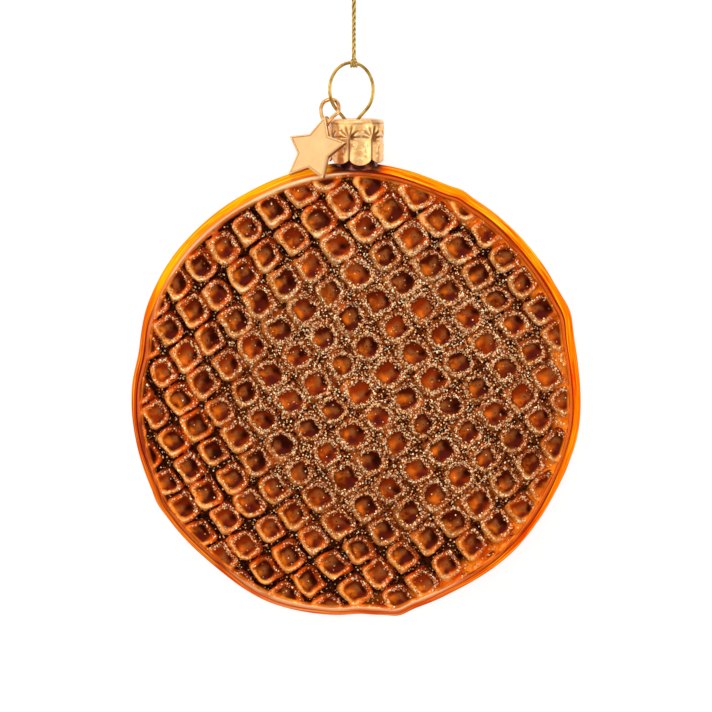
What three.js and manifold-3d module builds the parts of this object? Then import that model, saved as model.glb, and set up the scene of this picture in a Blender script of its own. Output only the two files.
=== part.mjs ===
// A blown-glass tree ornament shaped like a stroopwafel: two round waffle wafers with caramel between them,
// a fluted metal cap on the neck, a wire hanger, a star charm on a jump ring, and the cord it hangs by.
// It lies on its back: the shown face is up (+Z) and the cap points along +Y.
import * as THREE from "three";
import { mergeVertices } from "three/addons/utils/BufferGeometryUtils.js";
import Module from "manifold-3d";

const wasm = await Module();
wasm.setup();

// ---- Driving dimensions, in millimetres, degrees and whole cells ----
const DISC = {
  radius: 43.1, // mean outline radius, at the caramel
  half: 7.0, // from the middle plane to the flat of either lip
  centre: [-0.23, 0.24], // the outline's centre, off the pattern's centre
  segments: 64,
};
// Slow waves of the outline: [waves round the disc, height, where the first crest is].
const OUTLINE_WAVES = [
  [2, 0.21, 82], [3, 0.14, -4], [6, 0.09, 26],
  [7, 0.11, -10], [10, 0.08, -9], [11, 0.1, -12],
];
// Single lumps and dents of the outline: [where, half width, height].
const OUTLINE_LUMPS = [
  [20, 4, 0.5], [62, 2.5, 0.35], [170, 6, -0.6],
  [210, 4, 0.3], [271, 4, -0.45], [281, 3, 0.6],
];
// The edge from the caramel up to the lip and the crease:
// [in from the outline, above the middle plane, waviness].
const EDGE = [
  [0, 0, 0], [0.45, 2.4, 0.5], [1.05, 4.1, 1], [1.5, 5.4, 0.7],
  [1.8, DISC.half, 0], [2.3, DISC.half, 0], [2.6, 5.9, 0],
];
const WANDER = { in: 0.8, up: 0.9, ahead: 40 }; // how a full waviness moves the edge in and up
const FACE_FLOOR = 4.6; // the plain glass under the pattern
const FACE_INSET = 2.4; // the pattern ends this far in from the outline
const FACE_ROOT = 3; // the pattern's slab reaches down to here, inside the disc

const GRID = {
  pitch: 6.12, // cell to cell
  turn: 35.1, // first row direction, anticlockwise from +X
  offset: [0.84, 0.02], // cells from the disc's centre to the nearest cell's centre
  reach: 38, // radius at which the bend terms below apply in full
  bendU: { aa: -0.22, bb: -0.09, aaa: 0.19, abb: 0.31 }, // how far rows bow, in cells
  bendV: { bb: 0.09, aaa: -0.17, aab: 0.17, abb: 0.24 },
};
const CELL = {
  crest: 6.88, // height of the collar round a cell
  pit: 1.0, // depth of the dish inside the collar
  groove: 1.5, // depth of the groove between cells near the edge
  filled: 0.45, // the same where the glitter fills it, in the middle
  ring: 0.33, // collar's distance from the cell's centre, in cells
  bulge: 1.22, // the collar reaches this much further at the cell's corners
  uneven: 0.09, // spread of the collars' sizes
  astray: 0.04, // spread of the dishes' centres, in cells
  deeper: 0.2, // spread of the dishes' depths
  fade: 2.2, // the pattern sinks towards the crease over this width
  low: 5.85, // height to which it sinks
};

const NECK = { radius: 3.9, flare: 5.0, root: 37.0, foot: 41.0, waist: 43.2, top: 48.4, bevel: 0.5 };
const CAP = {
  radius: 4.97, // to the creases between the lobes
  lobe: 0.24, // how far a lobe stands out of that
  lobes: 7,
  wall: 0.4,
  bottom: 43.2, // lowest point of the scallops, at the front
  rise: 0.6, // the side scallops stop this much higher, clear of the glass
  scallop: 1.4,
  top: 51.9,
  shoulder: 1.0,
  turn: 9.2, // the front lobe faces this far to the right
  clear: 0.8, // radius of the two holes for the wire
};
const WIRE = {
  radius: 0.32,
  centre: [-0.97, 57.4],
  half: [4.12, 5.13], // half sizes of the loop, at the wire's middle
  leave: 38, // the loop is open this far either way from its lowest point
  cross: 1.15, // the ends slant in through the cap's top this far to either side
  legs: 0.8, // and stand this far to either side inside it
  bend: 0.9, // depth at which they turn straight down
  end: 49.2,
};
const RING = {
  radius: 0.38,
  centre: [-5.03, 53.9, 0.25],
  slope: 1.25, // rise towards the star along `down`
  down: [0.52, -0.85],
  // round the ring from its slit, through the star's eye at the bottom, and back to the slit
  route: [
    [-6.45, 54.72], [-6.73, 53.9], [-6.68, 53], [-6.44, 52.1], [-6.15, 51.45],
    [-5.78, 51.22], [-5.38, 51.47], [-4.5, 52.35], [-3.62, 53.1], [-3.36, 53.85],
    [-3.5, 54.8], [-4.15, 55.4], [-5.1, 55.52], [-5.95, 55.2], [-6.28, 54.92],
  ],
};
const STAR = {
  tip: 6.91,
  notch: 3.73,
  thick: 0.7,
  border: 0.5, // width of the raised edge
  raise: 0.14,
  centre: [-7.81, 46.12, 5.2],
  yaw: -34.2,
  pitch: -24.6,
  roll: -4.2,
  eye: { radius: 0.95, wire: 0.2, aside: -0.35, along: 6.2, behind: 0.95 },
};
const CORD = {
  radius: 0.39,
  steps: 20,
  knot: 0.85, // radius of the end knot
  beyond: 0.3, // the knot stands clear of the cord's end
  aside: -0.5,
  // from the hanger's top down to the surface the ornament lies on, and straight on:
  // [along +Y, height above that surface]
  route: [
    [63.1, 7], [64.3, 6.93], [65.7, 6.3], [67.1, 4.95], [68.5, 3.25], [69.9, 1.75], [71.3, 0.88],
    [73.2, 0.48], [76, 0.41], [80, 0.41], [84, 0.41], [88, 0.41], [91, 0.43], [93.2, 0.55],
  ],
};

const rad = THREE.MathUtils.degToRad;
const mix = THREE.MathUtils.lerp;
const clamp = THREE.MathUtils.clamp;

// ---- Solids ----
function toSolid(geometry) {
  const plain = geometry.clone();
  plain.deleteAttribute("normal");
  plain.deleteAttribute("uv");
  const merged = mergeVertices(plain, 1e-5);
  return new wasm.Manifold(new wasm.Mesh({
    numProp: 3,
    vertProperties: new Float32Array(merged.attributes.position.array),
    triVerts: new Uint32Array(merged.index.array),
  }));
}

function toGeometry(solid) {
  const mesh = solid.getMesh();
  const geometry = new THREE.BufferGeometry();
  geometry.setAttribute("position", new THREE.BufferAttribute(mesh.vertProperties, 3));
  geometry.setIndex(new THREE.BufferAttribute(mesh.triVerts, 1));
  geometry.computeVertexNormals();
  return geometry;
}

function fromFaces(points, faces) {
  const geometry = new THREE.BufferGeometry();
  geometry.setAttribute("position", new THREE.Float32BufferAttribute(points.flat(), 3));
  geometry.setIndex(faces.flat());
  geometry.computeVertexNormals();
  return geometry;
}

// Skin over rows of points; every row goes once round, and a row of one point closes an end.
function skin(rows) {
  const points = [];
  const starts = rows.map((row) => {
    points.push(...row);
    return points.length - row.length;
  });
  const faces = [];
  for (let r = 0; r + 1 < rows.length; r += 1) {
    const n = Math.max(rows[r].length, rows[r + 1].length);
    const at = (row, k) => starts[row] + (rows[row].length === 1 ? 0 : k % n);
    for (let k = 0; k < n; k += 1) {
      if (rows[r].length > 1) faces.push([at(r, k), at(r, k + 1), at(r + 1, k)]);
      if (rows[r + 1].length > 1) faces.push([at(r, k + 1), at(r + 1, k + 1), at(r + 1, k)]);
    }
  }
  return fromFaces(points, faces);
}

// ---- The disc's edge ----
function outline(deg) {
  let r = DISC.radius;
  for (const [n, height, crest] of OUTLINE_WAVES) r += height * Math.cos(n * rad(deg - crest));
  for (const [where, half, height] of OUTLINE_LUMPS) {
    const off = ((deg - where + 540) % 360) - 180;
    r += height * Math.exp(-((off / half) ** 2));
  }
  return r;
}

// The wafers' edges wander a little, each on its own, and the caramel shows between them.
function wander(deg, side) {
  return 0.16 * Math.sin(rad(5 * deg + 70 * side)) + 0.14 * Math.sin(rad(13 * deg - 50 * side));
}

function edgePoint(deg, [inset, height, wavy], side) {
  const r = outline(deg) - inset - wavy * WANDER.in * wander(deg, side);
  const z = side * (height + wavy * WANDER.up * wander(deg + WANDER.ahead, side));
  return [DISC.centre[0] + r * Math.cos(rad(deg)), DISC.centre[1] + r * Math.sin(rad(deg)), z];
}

function round(makePoint) {
  return Array.from({ length: DISC.segments }, (_, k) => makePoint((360 * k) / DISC.segments));
}

function discCore() {
  const front = EDGE.slice(1).map((row) => round((deg) => edgePoint(deg, row, 1)));
  const back = EDGE.slice(1).map((row) => round((deg) => edgePoint(deg, row, -1))).reverse();
  return skin([
    [[...DISC.centre, -FACE_FLOOR]],
    ...back,
    round((deg) => edgePoint(deg, EDGE[0], 1)),
    ...front,
    [[...DISC.centre, FACE_FLOOR]],
  ]);
}

// ---- The waffle pattern ----
// Where a place of the pattern, in cells, falls on the disc: the bends are undone by repeated correction.
function gridPoint(u, v) {
  const scale = GRID.reach / GRID.pitch;
  const { bendU, bendV } = GRID;
  let a = (u - GRID.offset[0]) / scale;
  let b = (v - GRID.offset[1]) / scale;
  for (let k = 0; k < 8; k += 1) {
    const inU = bendU.aa * a * a + bendU.bb * b * b + bendU.aaa * a ** 3 + bendU.abb * a * b * b;
    const inV = bendV.bb * b * b + bendV.aaa * a ** 3 + bendV.aab * a * a * b + bendV.abb * a * b * b;
    a = (u - GRID.offset[0] - inU) / scale;
    b = (v - GRID.offset[1] - inV) / scale;
  }
  const c = Math.cos(rad(GRID.turn)) * GRID.reach;
  const s = Math.sin(rad(GRID.turn)) * GRID.reach;
  return [c * a + s * b, s * a - c * b];
}

// A number from -1 to 1 that belongs to one cell.
function own(i, j, salt) {
  const x = Math.sin(i * 12.9898 + j * 78.233 + salt * 37.719) * 43758.5453;
  return 2 * (x - Math.floor(x)) - 1;
}

// 1 in the middle and to the right, where glitter fills the grooves; 0 near the left, top and bottom edges.
function filledness(x, y) {
  const far = Math.hypot((x - 7) / 31, y / 27);
  return clamp((1.25 - far) / 0.5, 0, 1);
}

function sink(x, y, z) {
  const deg = (Math.atan2(y - DISC.centre[1], x - DISC.centre[0]) * 180) / Math.PI;
  const within = outline(deg) - FACE_INSET - Math.hypot(x - DISC.centre[0], y - DISC.centre[1]);
  return mix(CELL.low, z, clamp(within / CELL.fade, 0, 1) ** 0.6);
}

// The cells, by row and column, that the disc needs.
function cellsInReach() {
  const reach = DISC.radius + GRID.pitch;
  const most = Math.ceil(reach / GRID.pitch) + 2;
  const cells = new Map();
  for (let i = -most; i <= most; i += 1) {
    for (let j = -most; j <= most; j += 1) {
      const [x, y] = gridPoint(i, j);
      if (Math.hypot(x, y) < reach) cells.set(`${i},${j}`, [i, j]);
    }
  }
  return cells;
}

// A slab with the pattern on top; the collars have 8 points, or 4 where plain squares will do.
function patternSlab(sides) {
  const cells = cellsInReach();
  const points = [];
  const corners = new Map();
  function corner(i, j) {
    const key = `${i},${j}`;
    if (!corners.has(key)) {
      const [x, y] = gridPoint(i - 0.5, j - 0.5);
      const z = CELL.crest - mix(CELL.groove, CELL.filled, filledness(x, y));
      corners.set(key, points.length);
      points.push([x, y, sink(x, y, z)], [x, y, FACE_ROOT]);
    }
    return corners.get(key);
  }
  const faces = [];
  for (const [i, j] of cells.values()) {
    const square = [corner(i, j), corner(i, j + 1), corner(i + 1, j + 1), corner(i + 1, j)];
    const ring = points.length;
    const size = CELL.ring * (1 + CELL.uneven * own(i, j, 1));
    for (let k = 0; k < sides; k += 1) {
      const turn = rad(225 - (360 / sides) * k);
      const out = size * (k % (sides / 4) === 0 ? CELL.bulge : 1);
      const [x, y] = gridPoint(i + out * Math.cos(turn), j + out * Math.sin(turn));
      points.push([x, y, sink(x, y, CELL.crest)]);
    }
    const [x, y] = gridPoint(i + CELL.astray * own(i, j, 2), j + CELL.astray * own(i, j, 3));
    const depth = CELL.pit * (1 + CELL.deeper * own(i, j, 4));
    const pit = points.length;
    points.push([x, y, sink(x, y, CELL.crest - depth)]);
    for (let k = 0; k < 4; k += 1) {
      const next = (k + 1) % 4;
      const diagonal = ring + (sides / 4) * k;
      const side = sides === 8 ? diagonal + 1 : diagonal;
      const diagonalNext = ring + (sides / 4) * next;
      faces.push([square[k], square[next], side], [square[next], diagonalNext, side]);
      faces.push([side, diagonalNext, pit]);
      if (side !== diagonal) faces.push([square[k], side, diagonal], [diagonal, side, pit]);
    }
    faces.push([square[0] + 1, square[2] + 1, square[1] + 1], [square[0] + 1, square[3] + 1, square[2] + 1]);
    const beside = [[i - 1, j], [i, j + 1], [i + 1, j], [i, j - 1]];
    beside.forEach(([m, n], k) => {
      if (cells.has(`${m},${n}`)) return;
      const [p, q] = [square[k], square[(k + 1) % 4]];
      faces.push([p, p + 1, q + 1], [p, q + 1, q]);
    });
  }
  return fromFaces(points, faces);
}

function facePrism() {
  const ring = (z) => round((deg) => edgePoint(deg, [FACE_INSET, z, 0], 1));
  const [low, high] = [FACE_ROOT - 1, DISC.half + 1];
  return skin([[[...DISC.centre, low]], ring(low), ring(high), [[...DISC.centre, high]]]);
}

// ---- The glass ----
function neckShape() {
  const { radius, flare, root, foot, waist, top, bevel } = NECK;
  const profile = [
    [0, root], [flare, root], [flare, foot], [radius, waist],
    [radius, top - bevel], [radius - bevel, top], [0, top],
  ];
  return new THREE.LatheGeometry(profile.map(([r, y]) => new THREE.Vector2(r, y)), 24);
}

function glassBody() {
  const face = (sides) => toSolid(patternSlab(sides)).intersect(toSolid(facePrism()));
  const behind = face(4).rotate([0, 180, 0]);
  return toGeometry(toSolid(discCore()).add(face(8)).add(behind).add(toSolid(neckShape())));
}

// ---- The cap ----
function capRow(y, r, lobe, scallop, rise = 0) {
  const count = CAP.lobes * 6;
  return Array.from({ length: count }, (_, k) => {
    // 1 at a lobe's middle, 0 at a crease
    const swing = Math.abs(Math.cos((CAP.lobes * Math.PI * k) / count));
    const turn = rad(90 - CAP.turn) - (2 * Math.PI * k) / count;
    const out = r + lobe * Math.sqrt(swing);
    const up = scallop * (1 - Math.sqrt(swing)) + rise * Math.cos(turn) ** 2;
    return [out * Math.cos(turn), y + up, out * Math.sin(turn)];
  });
}

function capShell() {
  const outer = CAP.radius;
  const inner = outer - CAP.wall;
  const soft = CAP.shoulder;
  const shell = skin([
    [[0, CAP.top - CAP.wall, 0]],
    capRow(CAP.top - CAP.wall, inner - soft * 0.8, 0, 0),
    capRow(CAP.top - CAP.wall - soft * 0.7, inner, CAP.lobe, 0),
    capRow(CAP.bottom, inner, CAP.lobe, CAP.scallop, CAP.rise),
    capRow(CAP.bottom, outer, CAP.lobe, CAP.scallop, CAP.rise),
    capRow(CAP.top - soft, outer, CAP.lobe, 0),
    capRow(CAP.top - soft * 0.3, outer - soft * 0.3, CAP.lobe * 0.7, 0),
    capRow(CAP.top, outer - soft, 0, 0),
    [[0, CAP.top, 0]],
  ]);
  let cap = toSolid(shell);
  for (const side of [-1, 1]) {
    const hole = new THREE.CylinderGeometry(CAP.clear, CAP.clear, 4, 12);
    hole.translate(WIRE.centre[0] + side * (WIRE.cross - CAP.wall / 4), CAP.top, 0);
    cap = cap.subtract(toSolid(hole));
  }
  return toGeometry(cap);
}

// ---- Wires ----
function wireAlong(points, radius, steps) {
  const section = new THREE.Shape();
  for (let k = 0; k < 8; k += 1) {
    const turn = (2 * Math.PI * k) / 8;
    const [x, y] = [radius * Math.cos(turn), radius * Math.sin(turn)];
    if (k === 0) section.moveTo(x, y);
    else section.lineTo(x, y);
  }
  const through = points.map((point) => new THREE.Vector3(...point));
  const extrudePath = new THREE.CatmullRomCurve3(through, false, "centripetal");
  const tube = new THREE.ExtrudeGeometry(section, { steps, bevelEnabled: false, extrudePath });
  return toGeometry(toSolid(tube));
}

function hangerRoute() {
  const [cx, cy] = WIRE.centre;
  const [hx, hy] = WIRE.half;
  const open = rad(WIRE.leave);
  const leg = (side) => [
    [cx + side * WIRE.legs, WIRE.end, 0],
    [cx + side * WIRE.legs, CAP.top - WIRE.bend, 0],
    [cx + side * WIRE.cross, CAP.top, 0],
  ];
  const loop = [];
  for (let k = 0; k <= 24; k += 1) {
    const turn = -Math.PI / 2 - open - ((2 * Math.PI - 2 * open) * k) / 24;
    loop.push([cx + hx * Math.cos(turn), cy + hy * Math.sin(turn), 0]);
  }
  return [...leg(-1), ...loop, ...leg(1).reverse()];
}

function ringRoute() {
  const [cx, cy, cz] = RING.centre;
  const [dx, dy] = RING.down;
  return RING.route.map(([x, y]) => [x, y, cz + RING.slope * ((x - cx) * dx + (y - cy) * dy)]);
}

function cordRoute() {
  return CORD.route.map(([along, height]) => [CORD.aside, along, height]);
}

// ---- The star charm ----
function starShape(inset) {
  const points = [];
  for (let k = 0; k < 10; k += 1) {
    const turn = rad(90 + 36 * k);
    const r = k % 2 === 0 ? STAR.tip - inset * 1.9 : STAR.notch - inset * 1.1;
    points.push(new THREE.Vector2(r * Math.cos(turn), r * Math.sin(turn)));
  }
  return new THREE.Shape(points);
}

function starCharm() {
  const plate = new THREE.ExtrudeGeometry(starShape(0), { depth: STAR.thick, bevelEnabled: false });
  plate.translate(0, 0, -STAR.thick / 2);
  const frame = starShape(0.02);
  frame.holes.push(starShape(STAR.border));
  const depth = STAR.thick / 2 + STAR.raise;
  const border = new THREE.ExtrudeGeometry(frame, { depth, bevelEnabled: false });
  const eye = new THREE.TorusGeometry(STAR.eye.radius, STAR.eye.wire, 8, 16);
  eye.rotateY(Math.PI / 2);
  eye.translate(STAR.eye.aside, STAR.eye.along, -STAR.eye.behind);
  return toGeometry(toSolid(plate).add(toSolid(border)).add(toSolid(eye)));
}

// ---- The scene graph ----
function piece(name, geometry, color, roughness, metalness, parent) {
  const mesh = new THREE.Mesh(geometry, new THREE.MeshStandardMaterial({ color, roughness, metalness }));
  mesh.name = name;
  parent.add(mesh);
  return mesh;
}

const ornament = new THREE.Group();
piece("waffle_glass", glassBody(), 0x9a5220, 0.25, 0.6, ornament);
piece("cap", capShell(), 0xe0b070, 0.3, 1, ornament);
piece("hanger_wire", wireAlong(hangerRoute(), WIRE.radius, 40), 0xb8923c, 0.25, 1, ornament);
piece("jump_ring", wireAlong(ringRoute(), RING.radius, 26), 0xd8a45c, 0.25, 1, ornament);
const star = piece("star_charm", starCharm(), 0xf0c48c, 0.35, 1, ornament);
star.rotation.set(rad(STAR.pitch), rad(STAR.yaw), rad(STAR.roll), "YXZ");
star.position.set(...STAR.centre);

// The ornament rests on its back lip: the lip's flat is at height 0, and the middle of its plan
// is over the origin.
const extent = new THREE.Box3().setFromObject(ornament, true);
const plan = extent.getCenter(new THREE.Vector3());
ornament.position.set(-plan.x, -plan.y, DISC.half);

const cordage = new THREE.Group();
cordage.position.set(-plan.x, -plan.y, 0);
piece("hanging_cord", wireAlong(cordRoute(), CORD.radius, CORD.steps), 0xc9a04a, 0.45, 0.6, cordage);
const knot = piece("cord_knot", new THREE.SphereGeometry(CORD.knot, 12, 8), 0xc9a04a, 0.45, 0.6, cordage);
knot.position.set(CORD.aside, CORD.route.at(-1)[0] + CORD.beyond + CORD.knot, CORD.knot + 0.02);

const stroopwafelOrnament = new THREE.Group();
stroopwafelOrnament.add(ornament, cordage);
export default stroopwafelOrnament;
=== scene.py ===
"""A blown-glass stroopwafel ornament lying on its back: lacquered waffle, glitter, gold fittings, cord."""
import math

import bpy
import numpy as np
from mathutils import Euler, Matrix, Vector


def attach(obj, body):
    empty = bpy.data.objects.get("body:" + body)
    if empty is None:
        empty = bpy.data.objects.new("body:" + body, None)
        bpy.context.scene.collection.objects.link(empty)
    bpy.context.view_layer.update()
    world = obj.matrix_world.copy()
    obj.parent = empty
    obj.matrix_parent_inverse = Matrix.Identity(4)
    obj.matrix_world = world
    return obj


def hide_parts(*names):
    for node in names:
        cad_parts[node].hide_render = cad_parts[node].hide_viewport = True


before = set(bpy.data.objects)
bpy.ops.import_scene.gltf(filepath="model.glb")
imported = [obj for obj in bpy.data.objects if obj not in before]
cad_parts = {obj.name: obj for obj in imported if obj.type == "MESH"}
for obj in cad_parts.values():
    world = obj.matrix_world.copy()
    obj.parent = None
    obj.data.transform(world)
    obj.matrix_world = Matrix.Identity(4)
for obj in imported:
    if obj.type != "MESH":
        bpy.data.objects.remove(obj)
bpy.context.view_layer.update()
MM = 0.001

# ---- Where things are, in mm from the middle of the pattern; y runs to the cap, z to the viewer ----
PATTERN_AT = np.array([0.101, -10.031, 7.0])  # that middle, in the frame
VIEW_CENTRE = (-0.1, 6.84, 0.0)  # what the picture's middle shows
VIEW_WIDTH = 135.3
VIEW_DISTANCE = 1200.0
VIEW_LEAN = math.radians(4.0)  # the camera stands this far towards the cap
SENSOR = 36.0
FLOOR_GAP = 0.02  # keeps pieces just clear of the floor

# ---- The glass, as the CAD source has it ----
DISC_RADIUS = 43.1
DISC_HALF = 7.0
DISC_CENTRE = (-0.23, 0.24)
# the outline's waves: how many round it, height, and where one crests
OUTLINE_WAVES = [(2, 0.21, 82), (3, 0.14, -4), (6, 0.09, 26), (7, 0.11, -10), (10, 0.08, -9),
                 (11, 0.1, -12)]
# the outline's lumps: where, half their width, and height
OUTLINE_LUMPS = [(20, 4, 0.5), (62, 2.5, 0.35), (170, 6, -0.6), (210, 4, 0.3), (271, 4, -0.45),
                 (281, 3, 0.6)]
# profile of the disc's edge, from its girth to the face: inset, height, how much it wanders, and its paint
# (0 orange band, 0.5 the line of painted shade along the crease, 1 the tan lip)
EDGE = [(0.1, 0, 0, 0), (0.45, 2.4, 0.5, 0), (1.05, 4.1, 1, 0), (1.42, 5.2, 0.8, 0.3),
        (1.58, 5.6, 0.6, 0.5), (1.68, 6.4, 0.4, 0.8), (1.84, DISC_HALF, 0, 1), (2.08, DISC_HALF, 0, 1),
        (2.3, 6.6, 0, 1)]
EDGE_WANDER = [(0.16, 5, 70), (0.14, 13, -50)]  # height, waves round it, and their shift between the faces
EDGE_RIPPLE = 0.06
LIP_SHIFT = (0.22, 20)  # the lip stands this far in from the edge at this angle, and out opposite it
GRID_PITCH = 6.12
GRID_TURN = math.radians(35.1)
GRID_OFFSET = (0.84, 0.02)
GRID_REACH = 38.0
# how the lattice bends along its two ways: a factor, and powers of both shares of GRID_REACH
BEND_U = [(-0.22, 2, 0), (-0.09, 0, 2), (0.19, 3, 0), (0.31, 1, 2)]
BEND_V = [(0.09, 0, 2), (-0.17, 3, 0), (0.17, 2, 1), (0.24, 1, 2)]
# the numbers that each cell has of its own, by their place in the hash
OWN = dict(size=1, shift_u=2, shift_v=3, depth=4, corners=5, lean=6, tone=7, ripple_u=8, ripple_v=9)
CELL_SHIFT = 0.04
CELL_LEAN = 0.06
CELL_RIPPLE = (0.018, 9)  # height, and waves to a cell
CELL_CORNERS = (4.4, 1.5, 0.7)  # squareness, how much less where filled, and how much it varies
CREST = 6.88
PIT_DEPTH = 1.05
GROOVE_DEPTH = 1.5
FILLED_DEPTH = 0.3
COLLAR_AT = 0.375  # collar's distance from its cell's centre, in cells
UNEVEN = 0.09
FADE = (1.3, 1.2, -25)  # width of the sunk border, and how much wider it gets towards this angle
FADE_CURVE = 0.6
SUNK = 6.2
LIP_FOOT = 0.3
FILLED = dict(middle=7, half=(31, 27), reach=1.25, fade=0.5)  # where glitter fills the grooves
FACE_STEPS = 240  # quads across the front face; the back has half as many
EDGE_ROWS = 36

# ---- Fittings ----
CAP = dict(radius=4.97, lobe=0.24, lobes=7, wall=0.3, bottom=43.2, rise=0.6, scallop=1.4, top=51.9,
           turn=9.2, shoulder=0.75, fan=48.35, hem=46.5)
CAP_PRESSED = dict(rays=0.11, hollow_and_shade=-0.18, arc=0.08, dots=0.12)
CAP_PLEATS = 11
CAP_ARC = dict(height=46.2, radius=1.05, width=0.13)
CAP_DOTS = [(1.0, 45.0), (0.62, 47.35), (1.25, 46.9), (0.0, 44.55), (0.45, 50.0)]  # beside a lobe, height
CAP_PLACES = 392  # points round it
NECK = [(5.4, 41.4), (4.7, 42.4), (4.15, 43.3), (3.9, 44.2), (3.9, 47.9), (3.4, 48.3), (0.5, 48.4)]
WIRE = dict(radius=0.32, centre=(-0.97, 57.4), half=(4.12, 5.13), leave=38, cross=1.3, legs=0.95,
            bend=0.9, end=49.2)
RING = dict(radius=0.38, centre=(-5.03, 53.9, 0.25), slope=1.25, down=(0.52, -0.85))
RING_ROUTE = [(-6.45, 54.72), (-6.73, 53.9), (-6.68, 53), (-6.44, 52.1), (-6.15, 51.45), (-5.78, 51.22),
              (-5.38, 51.47), (-4.5, 52.35), (-3.62, 53.1), (-3.36, 53.85), (-3.5, 54.8), (-4.15, 55.4),
              (-5.1, 55.52), (-5.95, 55.2), (-6.28, 54.92)]
STAR = dict(tip=6.91, notch=3.73, thick=0.7, border=0.36, rise=0.14, centre=(-7.81, 46.12, 5.2),
            yaw=-34.2, pitch=-24.6, roll=-4.2)
STAR_EYE = dict(radius=0.95, wire=0.2, at=(-0.35, 6.2, -0.95))
CORD_DIAMETER = 0.78
CORD_PITCH = 4.4
CORD_STRANDS = 3
STRAND_LAY = 0.29  # a strand's distance from the cord's middle, in diameters of the cord
STRAND_RADIUS = 0.25  # also in diameters of the cord
STRAND_SIDES = 10
CORD_ASIDE = -0.5
# along y, and the height above the floor, as in the CAD source
CORD_ROUTE = [(63.1, 7), (64.3, 6.93), (65.7, 6.3), (67.1, 4.95), (68.5, 3.25), (69.9, 1.75), (71.3, 0.88),
              (73.2, 0.48), (76, 0.41), (80, 0.41), (84, 0.41), (88, 0.41), (91, 0.43), (93.2, 0.55)]
KNOT_BEYOND = 0.3
KNOT_RADIUS = 0.85
KNOT_THREAD = 0.29
# the cord's turns round the wire: each one's x and lean, and how far under the wire's top they lie
HITCH = dict(turns=[(-0.93, 0.07), (-0.5, 0.0), (-0.07, -0.07)], drop=0.14, half=(0.6, 0.58), thread=0.25)
BIGHT = dict(points=[(-1.0, 0.1, 0.62), (-0.5, 0.5, 0.72), (0.0, 0.1, 0.62)], thread=0.18)

# ---- Glitter ----
GLITTER_SEED = 7
GLITTER_TRIES = {1: 120000, -1: 48000}  # front and back
GLITTER_RING = (0.01, 0.048)  # how far inside the collar's crest flakes gather, and how widely, in cells
# name, colour, roughness, and share of the flakes
GLITTER_KINDS = [("glitter_pale", (255, 222, 174), 0.3, 0.36), ("glitter_gold", (248, 170, 100), 0.3, 0.36),
                 ("glitter_bronze", (176, 84, 30), 0.35, 0.28)]
FLAKE_SIZE = (0.23, 0.43)
FLAKE_THICK = 0.03
FLAKE_TILT = 0.33
FLAKE_LIFT = 0.05

# ---- Finer points of the meshes ----
ANY_WAY = (0.123, 0.456, 0.881)  # no path starts along this
BAR_ENDS = [(0.6, 0.35), (0.45, 0.8)]  # a bar's soft ends: how far past its path and how wide, in radii
HASH = (12.9898, 78.233, 37.719, 43758.5453)

# ---- Paint ----
# the band's middling, deep and pale colour, the pale one for its painted highlight streaks: at the right,
# upper left (where the yellow is partly painted glow), below, left and upper right
BAND_COLORS = [((252, 136, 4), (255, 186, 6), (236, 130, 50), (236, 126, 20), (255, 160, 8)),
               ((232, 84, 2), (252, 150, 2), (212, 92, 24), (192, 82, 12), (236, 88, 4)),
               ((255, 188, 30), (255, 222, 60), (250, 190, 120), (250, 176, 60), (255, 204, 50))]
# where each of a cell's painted spots lies, how far it is whole and how far it reaches, in cells, and its
# colour:
# a painted soft reflection in the middle, painted shade low in the dish and along its right side, and a small
# dark dot
DISH_SPOTS = [(0.01, 0.06, 0.0, 0.22, (156, 84, 38)), (0.08, -0.26, 0.02, 0.26, (84, 24, 20)),
              (0.27, 0.08, 0.05, 0.28, (46, 12, 6)), (0.0, 0.02, 0.008, 0.03, (70, 32, 16))]


# ---- Mesh making ----
def add_object(name, data):
    obj = bpy.data.objects.new(name, data)
    bpy.context.collection.objects.link(obj)
    return obj


def make_object(name, points, faces, smooth=True):
    """A mesh object from points in millimetres round the pattern's middle and equal-sided faces."""
    points = np.asarray(points, float) + PATTERN_AT
    faces = np.asarray(faces, np.int32)
    mesh = bpy.data.meshes.new(name)
    mesh.vertices.add(len(points))
    mesh.vertices.foreach_set("co", (points * MM).ravel())
    mesh.loops.add(faces.size)
    mesh.loops.foreach_set("vertex_index", faces.ravel())
    mesh.polygons.add(len(faces))
    mesh.polygons.foreach_set("loop_start", np.arange(0, faces.size, faces.shape[1], dtype=np.int32))
    mesh.polygons.foreach_set("use_smooth", np.full(len(faces), smooth))
    mesh.update(calc_edges=True)
    return add_object(name, mesh)


def add_attribute(obj, name, values):
    values = np.asarray(values, np.float32)
    kind, field = ("FLOAT_VECTOR", "vector") if values.ndim == 2 else ("FLOAT", "value")
    obj.data.attributes.new(name, kind, "POINT").data.foreach_set(field, values.ravel())


def join_parts(parts):
    """One (points, faces) from several with the same number of sides to a face."""
    starts = np.cumsum([0] + [len(points) for points, _ in parts])
    return (np.concatenate([points for points, _ in parts]),
            np.concatenate([faces + start for (_, faces), start in zip(parts, starts)]))


def finish_piece(obj, material, slot_name, *nodes):
    obj.data.materials.append(material)
    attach(obj, "root")
    if nodes:
        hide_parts(*nodes)
    return obj


def unit(vectors):
    return vectors / np.linalg.norm(vectors, axis=-1, keepdims=True)


def soft_step(t):
    t = np.clip(t, 0, 1)
    return t * t * (3 - 2 * t)


def spline(a, b, c, d, t):
    """The Catmull-Rom curve from b to c."""
    return 0.5 * (2 * b + (c - a) * t + (2 * a - 5 * b + 4 * c - d) * t**2 + (3 * b - a - 3 * c + d) * t**3)


def smooth_path(points, per=8):
    """A smooth path through the given points, with per steps from each to the next."""
    p = np.asarray(points, float)
    p = np.vstack([2 * p[0] - p[1], p, 2 * p[-1] - p[-2]])
    t = np.linspace(0, 1, per, endpoint=False)[:, None]
    rows = [spline(*four, t) for four in zip(p[:-3], p[1:-2], p[2:-1], p[3:])]
    return np.vstack([*rows, p[-2]])


def path_lengths(path):
    """How far along the path each of its points is."""
    return np.concatenate([[0], np.cumsum(np.linalg.norm(np.diff(path, axis=0), axis=1))])


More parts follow.
